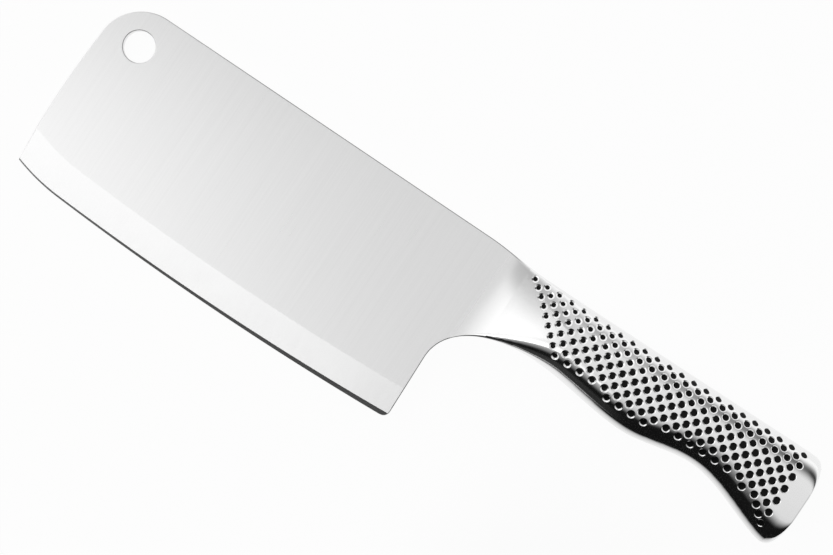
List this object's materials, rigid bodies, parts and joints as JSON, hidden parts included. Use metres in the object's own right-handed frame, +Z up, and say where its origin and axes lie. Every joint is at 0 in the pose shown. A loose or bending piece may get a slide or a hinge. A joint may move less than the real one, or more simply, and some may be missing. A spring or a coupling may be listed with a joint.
{
  "type": "cleaver",
  "caption": "All-steel kitchen cleaver: broad satin blade with a hanging hole, welded to a hollow dimpled handle ballasted with sand.",
  "frame": {"origin": "centre of the bottom of the bounding box, on the surface that the cleaver lies on with its left cheek up", "axes": "+X from the blade's front towards the handle's butt, +Y from the cutting edge towards the spine, +Z up out of the surface. The blade leans by 1.977 degrees about Y, because the handle is thicker than the blade and the front edge touches down."},
  "size_m": [0.2982, 0.0758, 0.0211],
  "materials": {
    "satin_steel": "satin",
    "polished_steel": "polished",
    "dressed_weld": "polished",
    "dry_sand": "matte"
  },
  "bodies": {
    "root": {"blade": "satin_steel", "handle_half_left": "polished_steel", "handle_half_right": "polished_steel", "sand_ballast": "dry_sand", "neck_weld": "dressed_weld", "spine_seam_weld": "dressed_weld", "butt_seam_weld": "dressed_weld", "belly_seam_weld": "dressed_weld"}
  },
  "joints": []
}
